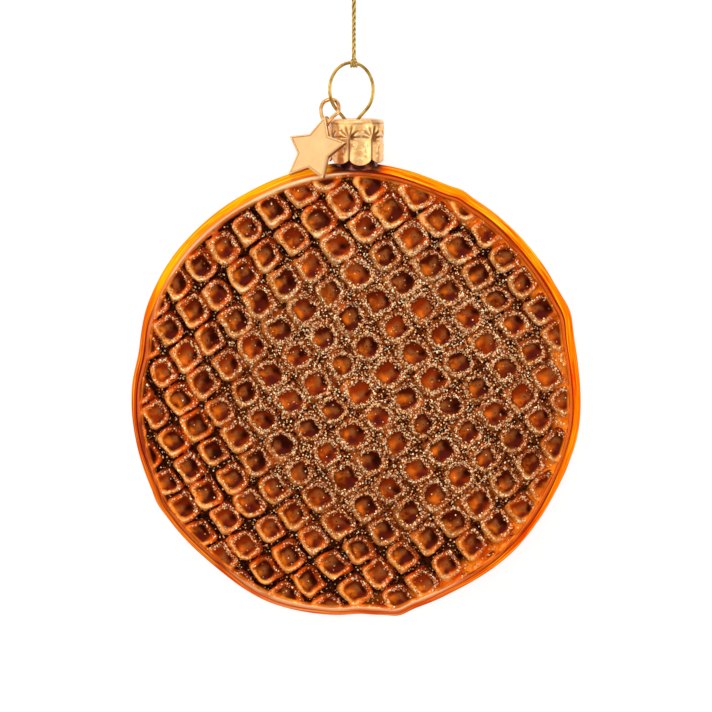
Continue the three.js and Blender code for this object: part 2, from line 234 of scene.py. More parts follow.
def resample(path, step):
    """The path in even steps, and its length."""
    far = path_lengths(path)
    places = np.linspace(0, far[-1], max(2, int(far[-1] / step)))
    return np.stack([np.interp(places, far, path[:, k]) for k in range(3)], 1), far[-1]


def path_frames(path):
    """Two directions across the path at each of its points, without twist."""
    tangent = unit(np.gradient(path, axis=0))
    across = np.cross(tangent[0], ANY_WAY)
    first = []
    for t in tangent:
        across = unit(across - t * across.dot(t))
        first.append(across)
    first = np.array(first)
    return first, np.cross(tangent, first)


def ring_quads(rings, count, closed=False):
    """Quads between rings of count points; closed joins the last ring to the first."""
    k = np.arange(count)
    quads = []
    for r in range(rings if closed else rings - 1):
        low, high = r * count, (r + 1) % rings * count
        quads.append(np.stack([low + k, low + (k + 1) % count, high + (k + 1) % count, high + k], 1))
    return np.vstack(quads)


def capped_rings(rings):
    """Points and quads over rings of an even count of points, with a fan of quads at each end."""
    count = len(rings[0])
    k = np.arange(0, count, 2)
    base, last = len(rings) * count, (len(rings) - 1) * count
    fans = [np.stack([np.full(len(k), base), (k + 2) % count, k + 1, k], 1),
            np.stack([np.full(len(k), base + 1), last + k, last + k + 1, last + (k + 2) % count], 1)]
    points = np.vstack([*rings, rings[0].mean(0), rings[-1].mean(0)])
    return points, np.vstack([ring_quads(len(rings), count), *fans])


def lathe(profile, count):
    """A closed round body about the cap's axis from (radius, height) rows."""
    turn = np.linspace(0, 2 * np.pi, count, endpoint=False)
    return capped_rings([np.stack([r * np.cos(turn), np.full(count, y), -r * np.sin(turn)], 1)
                         for r, y in profile])


def sweep(path, radius, sides=12, closed=False):
    """A round bar along a path, with soft ends, or joined to itself when closed."""
    path = np.asarray(path, float)
    first, second = path_frames(path)
    widths = np.full(len(path), float(radius))
    if closed:
        drift = math.atan2(first[-1].dot(second[0]), first[-1].dot(first[0]))
        undo = np.linspace(0, drift, len(path))[:, None]
        first, second = (first * np.cos(undo) - second * np.sin(undo),
                         first * np.sin(undo) + second * np.cos(undo))
        path, first, second, widths = (rows[:-1] for rows in (path, first, second, widths))
    else:
        back, forward = (unit(way) * radius for way in (path[0] - path[1], path[-1] - path[-2]))
        past, wide = np.array(BAR_ENDS).T
        path = np.vstack([path[0] + np.outer(past, back), path, path[-1] + np.outer(past[::-1], forward)])
        first, second = (np.vstack([rows[:1], rows[:1], rows, rows[-1:], rows[-1:]])
                         for rows in (first, second))
        widths = np.concatenate([radius * wide, widths, radius * wide[::-1]])
    turn = np.linspace(0, 2 * np.pi, sides, endpoint=False)[:, None]
    spokes = first[:, None] * np.cos(turn) + second[:, None] * np.sin(turn)
    rings = path[:, None] + widths[:, None, None] * spokes
    if closed:
        return rings.reshape(-1, 3), ring_quads(len(rings), sides, closed=True)
    return capped_rings(rings)


# ---- The glass body's shape ----
def own(i, j, name):
    """A number from -1 to 1 that belongs to one cell of the pattern."""
    by_i, by_j, by_name, spread = HASH
    x = np.sin(i * by_i + j * by_j + OWN[name] * by_name) * spread
    return 2 * (x - np.floor(x)) - 1


def outline(angle):
    deg = np.degrees(angle)
    r = np.full_like(deg, DISC_RADIUS)
    for n, height, crest in OUTLINE_WAVES:
        r += height * np.cos(np.radians(n * (deg - crest)))
    for where, half, height in OUTLINE_LUMPS:
        off = (deg - where + 540) % 360 - 180
        r += height * np.exp(-(off / half) ** 2)
    return r


def wander(angle, side):
    """How far the edge strays at an angle, above or below its girth."""
    deg = np.degrees(angle)
    return sum(height * np.sin(np.radians(n * deg + shift * side)) for height, n, shift in EDGE_WANDER)


def filledness(x, y):
    """1 in the middle and to the right, where glitter fills the grooves, and 0 near the other edges."""
    half_x, half_y = FILLED["half"]
    far = np.hypot((x - FILLED["middle"]) / half_x, y / half_y)
    return np.clip((FILLED["reach"] - far) / FILLED["fade"], 0, 1)


def bend(terms, a, b):
    return sum(factor * a**p * b**q for factor, p, q in terms)


def waffle(x, y):
    """The pattern at a place on the face: its height, and where in its cell the place is."""
    c, s = math.cos(GRID_TURN), math.sin(GRID_TURN)
    a, b = (c * x + s * y) / GRID_REACH, (s * x - c * y) / GRID_REACH
    cells = GRID_REACH / GRID_PITCH
    u = GRID_OFFSET[0] + a * cells + bend(BEND_U, a, b)
    v = GRID_OFFSET[1] + b * cells + bend(BEND_V, a, b)
    i, j = np.round(u), np.round(v)
    su = u - i - CELL_SHIFT * own(i, j, "shift_u")
    sv = v - j - CELL_SHIFT * own(i, j, "shift_v")
    lean = CELL_LEAN * own(i, j, "lean")
    su, sv = su + lean * sv, sv + lean * su
    high, waves = CELL_RIPPLE
    su, sv = (su + high * np.sin(waves * sv + 3 * own(i, j, "ripple_u")),
              sv + high * np.sin(waves * su + 3 * own(i, j, "ripple_v")))
    fill = filledness(x, y)
    square, rounder, vary = CELL_CORNERS
    power = square - rounder * fill + vary * own(i, j, "corners")
    rho = (np.abs(su) ** power + np.abs(sv) ** power) ** (1 / power) / (1 + UNEVEN * own(i, j, "size"))
    wall = soft_step((COLLAR_AT + 0.01 - rho) / 0.2)
    dish = np.clip(1 - (rho / COLLAR_AT) ** 2, 0, 1)
    depth = PIT_DEPTH * (1 + 0.25 * own(i, j, "depth")) * (0.65 * wall + 0.35 * dish)
    groove = soft_step((rho - COLLAR_AT - 0.03) / 0.075)
    height = CREST - depth - groove * (GROOVE_DEPTH + (FILLED_DEPTH - GROOVE_DEPTH) * fill)
    cell = np.stack([c * su + s * sv, s * su - c * sv, rho], -1)
    return height, cell, fill, own(i, j, "tone")


def face_height(x, y, turn, radius, side):
    """The face's height, lowered beside the lip, with what the paint needs to know there."""
    height, cell, fill, tone = waffle(side * x, y)
    within = outline(turn) - lip_inset(turn) - EDGE[-1][0] - radius
    wide, more, where = FADE
    width = wide + more * np.clip(np.cos(turn - math.radians(where)), 0, 1) ** 2
    near = np.clip(within / width, 0, 1) ** FADE_CURVE
    height = SUNK + (height - SUNK) * near
    height += (EDGE[-1][1] - SUNK) * np.exp(-(within / LIP_FOOT) ** 2)
    return height, cell, np.stack([within, fill, tone], -1)


def disc_grid(n):
    """A square grid pressed into a round one: angle and share of the radius for each point."""
    s = np.linspace(-1, 1, n + 1)
    p, q = np.meshgrid(s, s, indexing="ij")
    steep = np.abs(p) >= np.abs(q)
    share, other = np.where(steep, p, q), np.where(steep, q, p)
    turn = np.pi / 4 * other / np.where(share == 0, 1, share)
    turn = np.where(steep, turn, np.pi / 2 - turn) + np.pi * (share < 0)
    return turn.ravel(), np.abs(share).ravel()


def boundary_ring(n):
    """Indices round the edge of the grid, anticlockwise from the corner at -p, -q."""
    index = np.arange((n + 1) ** 2).reshape(n + 1, n + 1)
    return np.concatenate([index[:-1, 0], index[-1, :-1], index[:0:-1, -1], index[0, :0:-1]])


def in_triangles(quads):
    return np.vstack([quads[:, [0, 1, 2]], quads[:, [0, 2, 3]]])


def lip_inset(turn):
    far, where = LIP_SHIFT
    return far * np.cos(turn - math.radians(where))


def face_grid(side, n):
    """One face of the disc: points, triangles, the angles, and the paint's two vectors."""
    turn, share = disc_grid(n)
    radius = (outline(turn) - lip_inset(turn) - EDGE[-1][0]) * share
    x = DISC_CENTRE[0] + radius * np.cos(turn)
    y = DISC_CENTRE[1] + radius * np.sin(turn)
    height, cell, zone = face_height(x, y, turn, radius, side)
    index = np.arange((n + 1) ** 2).reshape(n + 1, n + 1)
    quads = np.stack([index[:-1, :-1], index[1:, :-1], index[1:, 1:], index[:-1, 1:]], -1).reshape(-1, 4)
    return np.stack([x, y, side * height], 1), in_triangles(quads[:, ::side]), turn, cell, zone


def edge_profile(turn):
    """Radius, height and paint along the edge from the front face round to the back one."""
    rows = [(row, 1) for row in reversed(EDGE)] + [(row, -1) for row in EDGE[1:]]
    controls = []
    for (inset, height, wavy, paint), side in rows:
        inset = inset + lip_inset(turn) * min(1.0, height / 5)
        radius = outline(turn) - inset - wavy * 0.8 * wander(turn, side)
        z = side * (height + wavy * 0.9 * wander(turn + math.radians(40), side))
        controls.append(np.stack([radius, z, np.full_like(turn, paint)], 1))
    controls = np.array(controls)
    lengths = path_lengths(controls[..., :2].mean(1))
    places = np.linspace(0, lengths[-1], EDGE_ROWS)
    p = np.concatenate([2 * controls[:1] - controls[1:2], controls, 2 * controls[-1:] - controls[-2:-1]])
    profile = []
    for place in places:
        k = min(int(np.searchsorted(lengths, place, side="right")) - 1, len(lengths) - 2)
        profile.append(spline(*p[k:k + 4], (place - lengths[k]) / (lengths[k + 1] - lengths[k])))
    return np.array(profile), places


def edge_rows(turn):
    """The edge's points, as rows x places x 3, with their paint and the flow of the streaks."""
    profile, places = edge_profile(turn)
    s = places[:, None]
    radius, z, paint = profile[..., 0], profile[..., 1], np.clip(profile[..., 2], 0, 1)
    ripple = (np.sin(1.9 * s + 2.4 * np.sin(5 * turn + 1) + 1.7 * np.sin(11 * turn + 0.5 * s))
              + 0.7 * np.sin(3.1 * s - 2.6 * np.sin(8 * turn + 2) + 2 * np.sin(3 * turn)))
    radius = radius - EDGE_RIPPLE * (1 + 0.6 * ripple) * np.clip(1 - 1.6 * paint, 0, 1)
    x, y = DISC_CENTRE[0] + radius * np.cos(turn), DISC_CENTRE[1] + radius * np.sin(turn)
    points = np.stack([x, y, np.clip(z, -DISC_HALF, DISC_HALF)], -1)
    flow = np.stack([np.broadcast_to(part, z.shape) for part in (np.cos(turn), np.sin(turn), s)], -1)
    return points, paint, flow


def build_glass(material):
    """Both faces and the edge in one closed mesh; the back has half as many points as the front."""
    front, front_faces, front_turn, front_cell, front_zone = face_grid(1, FACE_STEPS)
    back, back_faces, back_turn, back_cell, back_zone = face_grid(-1, FACE_STEPS // 2)
    front_ring, back_ring = boundary_ring(FACE_STEPS), boundary_ring(FACE_STEPS // 2)
    rows, paint, flow = edge_rows(front_turn[front_ring])
    half = EDGE_ROWS // 2
    front[front_ring], back[back_ring] = rows[0], rows[-1, ::2]
    upper, lower = rows[1:half], rows[half:-1, ::2]
    start = len(front) + len(back)
    ids = [front_ring]
    for row in list(upper) + list(lower):
        ids.append(start + np.arange(len(row)))
        start += len(row)
    ids.append(back_ring + len(front))
    faces = [front_faces, back_faces + len(front)]
    for high, low in zip(ids[:-1], ids[1:]):
        if len(high) == len(low):
            faces.append(in_triangles(np.stack([high, low, np.roll(low, -1), np.roll(high, -1)], 1)))
            continue
        first, middle, last = high[::2], high[1::2], np.roll(high, -2)[::2]
        faces += [np.stack([first, low, middle], 1), np.stack([middle, low, np.roll(low, -1)], 1),
                  np.stack([middle, np.roll(low, -1), last], 1)]

    def spread(rim):
        """The edge's own points in the mesh's order."""
        return np.concatenate([part.reshape(-1, *rim.shape[2:]) for part in (rim[1:half], rim[half:-1, ::2])])

    inner = spread(rows)
    obj = make_object("waffle_body", np.vstack([front, back, inner]), np.vstack(faces))
    off_face = np.zeros_like(inner)
    add_attribute(obj, "cell", np.vstack([front_cell, back_cell, off_face]))
    add_attribute(obj, "zone", np.vstack([front_zone, back_zone, off_face]))
    add_attribute(obj, "paint", np.concatenate([np.ones(len(front) + len(back)), spread(paint)]))
    ends = [np.stack([np.cos(turn), np.sin(turn), np.full_like(turn, flow[row, 0, 2])], 1)
            for turn, row in ((front_turn, 0), (back_turn, -1))]
    add_attribute(obj, "flow", np.vstack([*ends, spread(flow)]))
    finish_piece(obj, material, "glass", "waffle_glass")


def build_neck(material):
    obj = make_object("glass_neck", *lathe(smooth_path(NECK, 5), 64))
    finish_piece(obj, material, "glass")


# ---- Materials ----
def linear(color):
    """A colour as seen, in whole numbers up to 255, in linear values; other colours stay."""
    if not all(isinstance(c, int) for c in color):
        return color
    return tuple(c / 255 / 12.92 if c < 11 else ((c / 255 + 0.055) / 1.055) ** 2.4 for c in color)


class Paint:
    """A material and short ways to add nodes to it."""

    def __init__(self, name):
        self.material = bpy.data.materials.new(name)
        self.material.use_nodes = True
        self.tree = self.material.node_tree
        self.shader = self.tree.nodes["Principled BSDF"]
        self.place = self.node("ShaderNodeTexCoord").outputs["Object"]

    def node(self, kind, **settings):
        made = self.tree.nodes.new(kind)
        for name, value in settings.items():
            setattr(made, name, value)
        return made

    def put(self, socket, value):
        if isinstance(value, bpy.types.NodeSocket):
            self.tree.links.new(value, socket)
        elif isinstance(value, tuple) and len(value) < len(socket.default_value):
            socket.default_value = (*linear(value), 1)
        else:
            socket.default_value = value

    def feed(self, made, inputs, values):
        for name, value in zip(inputs, values):
            self.put(made.inputs[name], value)

    def set(self, **values):
        """Sets the shader's sockets; base_color stands for Base Color."""
        for name, value in values.items():
            self.put(self.shader.inputs[name.replace("_", " ").title().replace("Ior", "IOR")], value)

    def attribute(self, name, output="Vector"):
        return self.node("ShaderNodeAttribute", attribute_name=name).outputs[output]

    def split(self, vector):
        made = self.node("ShaderNodeSeparateXYZ")
        self.put(made.inputs[0], vector)
        return made.outputs

    def mix(self, share, first, second):
        made = self.node("ShaderNodeMix", data_type="RGBA")
        self.feed(made, (0, 6, 7), (share, first, second))
        return made.outputs[2]

    def math(self, operation, *values, clamp=False):
        made = self.node("ShaderNodeMath", operation=operation, use_clamp=clamp)
        self.feed(made, range(3), values)
        return made.outputs[0]

    def times(self, first, second):
        return self.math("MULTIPLY", first, second)

    def scaled(self, value, factor, base, clamp=False):
        """The value times the factor plus the base."""
        return self.math("MULTIPLY_ADD", value, factor, base, clamp=clamp)

    def vector(self, operation, *values, output="Vector"):
        made = self.node("ShaderNodeVectorMath", operation=operation)
        self.feed(made, range(3), values)
        return made.outputs[output]

    def between(self, value, low, high):
        """0 at low, 1 at high, softly; low may be the larger."""
        made = self.node("ShaderNodeMapRange", interpolation_type="SMOOTHSTEP")
        ends = (min(low, high), max(low, high), float(low >= high), float(low < high))
        self.feed(made, ("Value", "From Min", "From Max", "To Min", "To Max"), (value, *ends))
        return made.outputs["Result"]

    def ramp(self, value, *stops):
        made = self.node("ShaderNodeValToRGB")
        elements = made.color_ramp.elements
        while len(elements) < len(stops):
            elements.new(0.5)
        for element, (place, color) in zip(elements, stops):
            element.position = place
            element.color = (*linear(color), 1)
        self.put(made.inputs[0], value)
        return made.outputs[0]

    def noise(self, scale, detail=3.0, roughness=0.5, along=None, squeeze=None, output="Fac"):
        vector = self.place if along is None else along
        if squeeze:
            vector = self.vector("MULTIPLY", vector, squeeze)
        made = self.node("ShaderNodeTexNoise")
        self.feed(made, ("Vector", "Scale", "Detail", "Roughness"), (vector, scale, detail, roughness))
        return made.outputs[output]

    def bump(self, height, strength, distance_mm):
        made = self.node("ShaderNodeBump")
        self.feed(made, ("Height", "Strength", "Distance"), (height, strength, distance_mm * MM))
        self.set(normal=made.outputs[0])


def rim_color(paint, flow, shade):
    """The edge: a streaked band with painted highlight streaks, yellow at the upper left (partly painted
    glow) and pink below, with painted shade under the cap, then a line of painted shade along the crease and
    a lip with a painted highlight under the star.
    """
    mix, between, times = paint.mix, paint.between, paint.times
    x, y, _ = paint.split(flow)
    round_it = paint.vector("MULTIPLY", flow, (1, 1, 0))

    def side(degrees, inner, outer):
        """1 near one direction from the disc's middle, fading between two distances on the unit circle."""
        toward = (math.cos(math.radians(degrees)), math.sin(math.radians(degrees)), 0)
        return between(paint.vector("DISTANCE", round_it, toward, output="Value"), outer, inner)

    # the upper left's yellow is partly painted glow
    upper_left, below, left = side(128, 0.35, 0.75), side(268, 0.35, 0.65), side(200, 0.5, 0.85)
    # the side at 107 degrees marks the lip's painted highlight
    upper_right, lip_highlight = side(58, 0.3, 0.65), side(107, 0.14, 0.3)
    streak = paint.noise(1.0, 3, 0.55, along=flow, squeeze=(4.6, 4.6, 0.7))
    glint = paint.noise(1.0, 2, 0.5, along=flow, squeeze=(3.6, 3.6, 1.4))
    patch = paint.noise(1.0, 2, 0.5, along=flow, squeeze=(2.6, 2.6, 0.25))

    def tinted(right_of, above_left, under, at_left):
        color = mix(upper_left, right_of, above_left)
        return mix(below, mix(left, color, at_left), under)

    base, deep, pale = (mix(upper_right, tinted(*colors), last) for *colors, last in BAND_COLORS)
    band = mix(between(patch, 0.48, 0.6), base, deep)
    band = mix(between(streak, 0.5, 0.62), band, deep)
    # painted highlights: pale glints streaked along the band
    band = mix(between(glint, 0.52, 0.62), band, pale)
    # painted shade under the cap, where the band meets the neck, lighter along the glints
    root = times(between(paint.math("ABSOLUTE", x), 0.14, 0.085), between(y, 0, 0.5))
    band = mix(root, band, paint.ramp(glint, (0.4, (70, 30, 30)), (0.62, (140, 70, 48))))
    lip = tinted((206, 92, 30), (246, 168, 116), (240, 170, 116), (196, 92, 40))
    worn = tinted((166, 58, 18), (232, 130, 70), (216, 120, 70), (140, 52, 24))
    lip = mix(between(streak, 0.5, 0.62), lip, worn)
    # painted highlight on the lip under the star
    lip = mix(lip_highlight, lip, paint.ramp(glint, (0.4, (250, 180, 110)), (0.6, (255, 226, 180))))
    # painted shade: the line along the crease, dark except at the upper left
    line = tinted((128, 36, 10), (236, 140, 70), (196, 96, 52), (76, 20, 24))
    color = mix(between(shade, 0.18, 0.34), band, line)
    return mix(between(shade, 0.66, 0.86), color, lip)


def cell_color(paint, cell, within, fill, tone, flow):
    """Inside the lattice: dark red-brown dishes with painted shade and reflections, collars with painted
    light and highlights, and dark or glittered ground between them.
    """
    mix, between, times = paint.mix, paint.between, paint.times
    stir = paint.vector("SUBTRACT", paint.noise(430, 3, output="Color"), (0.5, 0.5, 0.5))
    cell = paint.vector("MULTIPLY_ADD", stir, (0.4, 0.4, 0.2), cell)
    dx, dy, rho = paint.split(cell)
    to_right, to_top, _ = paint.split(flow)
    upper = between(to_top, 0.1, 0.85)
    fine = paint.noise(1700, 3, 0.6)
    patch = paint.noise(150, 2)
    drift = paint.vector("SUBTRACT", paint.noise(100, 1, output="Color"), (0.5, 0.5, 0.5))
    flat = paint.vector("MULTIPLY_ADD", drift, (0.7, 0.7, 0), paint.vector("MULTIPLY", cell, (1, 1, 0)))

    def spot(x, y, inner, outer):
        return between(paint.vector("DISTANCE", flat, (x, y, 0), output="Value"), outer, inner)

    mottle = between(paint.noise(520, 3, 0.6), 0.3, 0.6)
    dish = mix(between(tone, -0.6, 1.0), (80, 20, 6), (146, 46, 8))
    # painted light: a mottled bright orange patch on the dish's left wall
    dish = mix(times(spot(-0.19, -0.08, 0.0, 0.27), mottle), dish, (230, 110, 24))
    # painted reflection and painted shade in each dish
    for x, y, inner, outer, color in DISH_SPOTS:
        dish = mix(spot(x, y, inner, outer), dish, color)

    grain = paint.noise(420, 3, 0.6)
    # painted light and shade: collars lighter towards the lower left, darker towards the upper right
    lit = paint.scaled(grain, 0.8, paint.scaled(dy, -0.8, paint.scaled(dx, -0.6, 0.1)), clamp=True)
    collar = paint.ramp(lit, (0.12, (126, 40, 8)), (0.4, (222, 86, 12)), (0.68, (250, 122, 26)),
                        (0.92, (255, 158, 60)))
    # painted sheen on the collars' lit side in the upper part of the face
    shine = times(upper, between(lit, 0.5, 0.85))
    collar = mix(shine, collar, (255, 166, 76))
    # painted highlights along the collar's crest, strongest on its lower side
    gleam = paint.scaled(grain, 0.4, paint.scaled(dx, 0.2, times(dy, -1.0)))
    gleam = times(between(gleam, 0.48, 0.62), paint.scaled(upper, 0.7, 0.2))
    crest = times(between(rho, COLLAR_AT - 0.05, COLLAR_AT),
                  between(rho, COLLAR_AT + 0.06, COLLAR_AT + 0.01))
    sunny = times(crest, between(lit, 0.42, 0.8))
    collar = mix(times(sunny, 0.6), collar, (255, 184, 104))
    collar = mix(times(gleam, crest), collar, (255, 226, 172))
    dark = paint.ramp(fine, (0.38, (12, 4, 2)), (0.7, (80, 32, 12)))
    ground = paint.ramp(fine, (0.4, (26, 8, 3)), (0.62, (142, 60, 20)))
    ground = mix(between(patch, 0.58, 0.7), ground, (168, 72, 18))
    ground = mix(times(between(rho, 0.47, 0.58), 0.8), ground, dark)
    trench = mix(between(fill, 0.1, 0.9), dark, ground)
    border = paint.ramp(paint.noise(300, 3), (0.35, (214, 84, 10)), (0.65, (255, 146, 26)))
    bordered = times(between(within, 3.4, 1.6), between(to_right, -0.1, 0.5))
    trench = mix(bordered, trench, border)
    collar = mix(times(fill, 0.9), collar, ground)
    color = mix(between(rho, COLLAR_AT - 0.13, COLLAR_AT - 0.02), dish, collar)
    trenched = between(rho, COLLAR_AT + 0.07, COLLAR_AT + 0.11)
    color = mix(trenched, color, trench)
    return mix(between(within, 0.6, 0.1), color, border), trenched, rho


def lacquer_material():
    """Lacquer over silvered glass: a streaked orange edge round a burnt-brown waffle pattern, both with
    painted light and shade in their colour.
    """
    paint = Paint("waffle_lacquer")
    flow = paint.attribute("flow")
    within, fill, tone = paint.split(paint.attribute("zone"))
    color, trenched, rho = cell_color(paint, paint.attribute("cell"), within, fill, tone, flow)
    rim = rim_color(paint, flow, paint.attribute("paint", "Fac"))
    on_face = paint.between(within, 0.0, 0.15)
    color = paint.mix(on_face, rim, color)
    rough = paint.scaled(trenched, 0.2, 0.2)
    rough = paint.scaled(paint.between(rho, 0.32, 0.2), 0.2, rough)
    metal = paint.scaled(on_face, -0.35, 0.6)
    paint.set(base_color=color, roughness=rough, metallic=metal, specular_ior_level=0.0,
              specular_tint=(255, 130, 40), coat_weight=0.0)
    paint.bump(paint.noise(330, 3), 0.3, 0.5)
    return paint.material


def neck_material():
    # painted shade: dark purple-brown with orange flecks, for the neck under the cap
    paint = Paint("neck_lacquer")
    color = paint.ramp(paint.noise(260, 3), (0.35, (62, 28, 30)), (0.55, (110, 52, 40)),
                       (0.75, (214, 104, 30)))
    paint.set(base_color=color, metallic=0.6, roughness=0.22, coat_weight=0.15, coat_roughness=0.06)
    return paint.material


def gold_material(name, deep, light, roughness, scale, relief, hollow_and_shade=None, metallic=1.0):
    """Pressed gold-coloured metal; the optional colour after the relief is painted shade, laid where the
    mesh's attribute of the same name is 1.
    """
    paint = Paint(name)
    cloud = paint.noise(scale, 4, 0.6)
    color = paint.ramp(cloud, (0.3, deep), (0.7, light))
    # painted shade where the mesh marks it
    if hollow_and_shade:
        color = paint.mix(paint.attribute("hollow_and_shade", "Fac"), color, hollow_and_shade)
    rough = paint.scaled(paint.noise(scale * 6, 3), 0.16, roughness - 0.08)
    paint.set(base_color=color, roughness=rough, metallic=metallic)
    paint.bump(cloud, relief, 0.08)
    return paint.material


def flake_material(name, color, roughness):
    paint = Paint(name)
    each = paint.node("ShaderNodeNewGeometry").outputs["Random Per Island"]
    dull, bright = (tuple(min(1.0, k * c) for c in linear(color)) for k in (0.5, 1.15))
    paint.set(base_color=paint.ramp(each, (0.0, dull), (0.6, color), (1.0, bright)), metallic=0.4,
              roughness=roughness, specular_ior_level=0.3)
    return paint.material


def cord_material():
    paint = Paint("cord_thread")
    wave = paint.node("ShaderNodeTexWave", wave_type="BANDS", bands_direction="DIAGONAL")
    paint.feed(wave, ("Vector", "Scale", "Distortion"), (paint.attribute("along"), 1.0, 1.5))
    thread = wave.outputs["Fac"]
    # diagonal thread bands, their brightest stop partly a painted highlight
    color = paint.ramp(thread, (0.1, (100, 62, 12)), (0.5, (184, 132, 40)), (0.9, (255, 218, 122)))
    out = paint.attribute("out", "Fac")
    # painted shade where the strands meet
    color = paint.mix(paint.between(out, 0.86, 0.55), color, (52, 28, 4))
    paint.set(base_color=color, metallic=0.8, roughness=0.35)
    paint.bump(thread, 0.5, 0.04)
    return paint.material


# ---- Fittings ----
def cap_row(turn, y, radius, lobe, fall=0.0, emboss=0.0):
    """One ring of the cap; fall and emboss are its shares of the hem's scallops and of the pressing."""
    swing = np.abs(np.cos(CAP["lobes"] / 2 * turn))
    face = np.radians(90 - CAP["turn"]) - turn
    height = y + fall * (CAP["scallop"] * (1 - np.sqrt(swing)) + CAP["rise"] * np.cos(face) ** 2)
    full = 0.3 + 0.7 * soft_step((CAP["fan"] + 0.9 - height) / 1.6)
    out = radius - lobe * (1 - swing**0.6) * full + lobe + emboss * cap_relief(turn, height)
    return np.stack([out * np.cos(face), height, out * np.sin(face)], 1)


def cap_relief(turn, height):
    """The pressed pattern: a fan of pleats rising from each crease, and arcs and dots on each lobe."""
    step = 2 * np.pi / CAP["lobes"]
    crease = (turn / step % 1.0 - 0.5) * step * CAP["radius"]
    lobe = ((turn / step + 0.5) % 1.0 - 0.5) * step * CAP["radius"]
    up = height - CAP["fan"]
    reach = np.hypot(crease, up)
    angle = np.arctan2(crease, up)
    rays = np.cos(CAP_PLEATS * angle) * soft_step((reach - 0.35) / 0.4) * soft_step((2.9 - reach) / 1.2)
    rays = rays * soft_step((2.0 - np.abs(angle)) / 0.5)
    hollow_and_shade = np.exp(-(((crease - 0.62) / 0.5) ** 2 + ((up - 0.3) / 0.85) ** 2))
    low = height - CAP_ARC["height"]
    arc = np.exp(-((np.hypot(lobe, low) - CAP_ARC["radius"]) / CAP_ARC["width"]) ** 2) * (low > -0.5)
    dots = np.exp(-(np.hypot(lobe, low + 0.1) / 0.26) ** 2)
    for aside, y in CAP_DOTS:
        dots = dots + np.exp(-(np.hypot(np.abs(lobe) - aside, height - y) / 0.19) ** 2)
    parts = dict(rays=rays * (1 - hollow_and_shade), hollow_and_shade=hollow_and_shade, arc=arc, dots=dots)
    return sum(CAP_PRESSED[name] * part for name, part in parts.items())


def build_cap(material):
    turn = np.linspace(0, 2 * np.pi, CAP_PLACES, endpoint=False)
    top, low, radius, lobe, soft = (CAP[name] for name in ("top", "bottom", "radius", "lobe", "shoulder"))
    inner = radius - CAP["wall"]

    def fall(y):
        return max(0.0, min(1.0, (CAP["hem"] - y) / (CAP["hem"] - low)))

    rows = [cap_row(turn, top - 0.45, 0.4, 0), cap_row(turn, top - 0.45, inner - 0.9, 0),
            cap_row(turn, top - 1.1, inner, lobe)]
    rows += [cap_row(turn, y, inner, lobe, fall(y)) for y in np.linspace(top - 1.6, low + 0.02, 16)]
    rows += [cap_row(turn, y, radius, lobe, fall(y), 1) for y in np.linspace(low, top - soft - 0.1, 66)]
    for angle in np.radians([0, 18, 36, 54, 72, 90]):
        out = radius - soft + soft * math.cos(angle)
        rows.append(cap_row(turn, top - soft + soft * math.sin(angle), out, lobe * math.cos(angle)))
    rows += [cap_row(turn, top - (0.14 if r < 4.0 else 0.03), r, 0) for r in (4.15, 3.9, 2.0, 0.4)]
    points, faces = capped_rings(rows)
    obj = make_object("cap_shell", points, faces)
    swing = np.abs(np.cos(CAP["lobes"] / 2 * turn))
    # painted shade: darker in the creases below the fan, along the fold under the shoulder and in the pressed
    # hollow, lighter on the raised pressing, and a darker painted reflection on the lobe at the right
    deep = []
    for row in rows:
        height = row[:, 1]
        below = soft_step((CAP["fan"] + 0.3 - height) / 0.8)
        line = np.exp(-(((height - top + soft + 0.04) / 0.1) ** 2))
        side = soft_step((turn - math.radians(24)) / 0.05) * soft_step((math.radians(52) - turn) / 0.15)
        deep.append(np.clip(0.9 * below * np.exp(-(swing / 0.1) ** 2) + 0.5 * line + 0.5 * side
                            - 8 * cap_relief(turn, height), 0, 1))
    add_attribute(obj, "hollow_and_shade", np.concatenate([*deep, [0, 0]]))
    finish_piece(obj, material, "gold_metal", "cap")


def hanger_path():
    cx, cy = WIRE["centre"]
    hx, hy = WIRE["half"]
    opening = math.radians(WIRE["leave"])
    left, right = ([(cx + side * WIRE["legs"], WIRE["end"], 0),
                    (cx + side * WIRE["legs"], CAP["top"] - WIRE["bend"], 0),
                    (cx + side * WIRE["cross"], CAP["top"], 0)] for side in (-1, 1))
    turns = -math.pi / 2 - opening - (2 * math.pi - 2 * opening) * np.linspace(0, 1, 25)
    loop = [(cx + hx * math.cos(turn), cy + hy * math.sin(turn), 0) for turn in turns]
    return smooth_path(left + loop + right[::-1], 6)


def build_hanger(material):
    obj = make_object("hanger_loop", *sweep(hanger_path(), WIRE["radius"], 16))
    finish_piece(obj, material, "wire", "hanger_wire")


def build_ring(material):
    cx, cy, cz = RING["centre"]
    dx, dy = RING["down"]
    route = [(x, y, cz + RING["slope"] * ((x - cx) * dx + (y - cy) * dy)) for x, y in RING_ROUTE]
    obj = make_object("charm_ring", *sweep(smooth_path(route, 8), RING["radius"], 14))
    finish_piece(obj, material, "gold_metal", "jump_ring")


def star_loop(inset, z, soft):
    """The star's outline moved in by inset, its corners rounded over a share of each side."""
    corners = []
    for k in range(10):
        turn = math.radians(90 + 36 * k)
        r = STAR["tip"] - inset * 1.9 if k % 2 == 0 else STAR["notch"] - inset * 1.1
        corners.append(np.array([r * math.cos(turn), r * math.sin(turn)]))
    points = []
    for k, corner in enumerate(corners):
        before, after = corners[k - 1], corners[(k + 1) % 10]
        first, last = corner + (before - corner) * soft, corner + (after - corner) * soft
        middle = (first + last + 2 * corner) / 4
        points += [first, (first + middle) / 2 + (corner - middle) * 0.12, middle,
                   (last + middle) / 2 + (corner - middle) * 0.12, last]
        points += [corner + (after - corner) * t for t in (0.25, 0.5, 0.75)]
    return np.array([(x, y, z) for x, y in points])


def star_turn(points):
    yaw, pitch, roll = (math.radians(STAR[name]) for name in ("yaw", "pitch", "roll"))
    turned = np.array(Euler((pitch, yaw, roll), "ZXY").to_matrix())
    return points @ turned.T + np.array(STAR["centre"])


